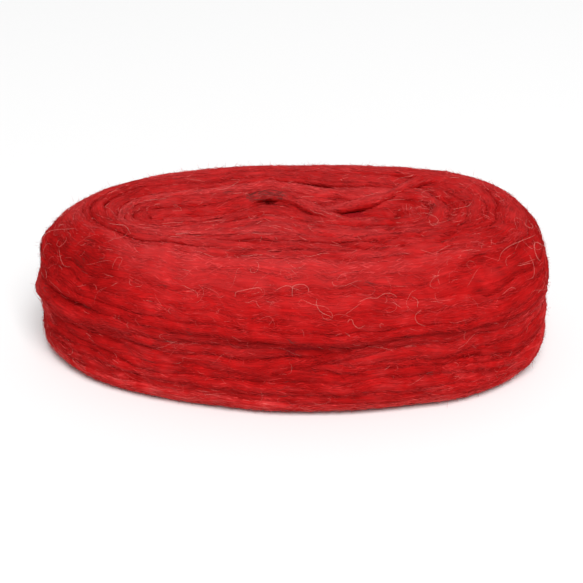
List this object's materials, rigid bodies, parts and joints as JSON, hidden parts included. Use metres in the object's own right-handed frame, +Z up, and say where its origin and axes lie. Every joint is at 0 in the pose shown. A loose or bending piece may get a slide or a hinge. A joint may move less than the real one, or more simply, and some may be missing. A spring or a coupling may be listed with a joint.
{
  "type": "wool yarn plate",
  "caption": "Soft unspun wool strand wound flat into an oval plate, its middle fallen shut to a slit, that rests on its flat underside.",
  "frame": {"origin": "middle of the plate's box on the surface that the plate rests on", "axes": "+X along the plate's length, +Y across it towards its back, +Z up from its flat underside"},
  "size_m": [0.2183, 0.1146, 0.0713],
  "materials": {
    "wool": "soft, hairy and matt"
  },
  "bodies": {
    "root": {"wool_plate": "wool"}
  },
  "joints": []
}
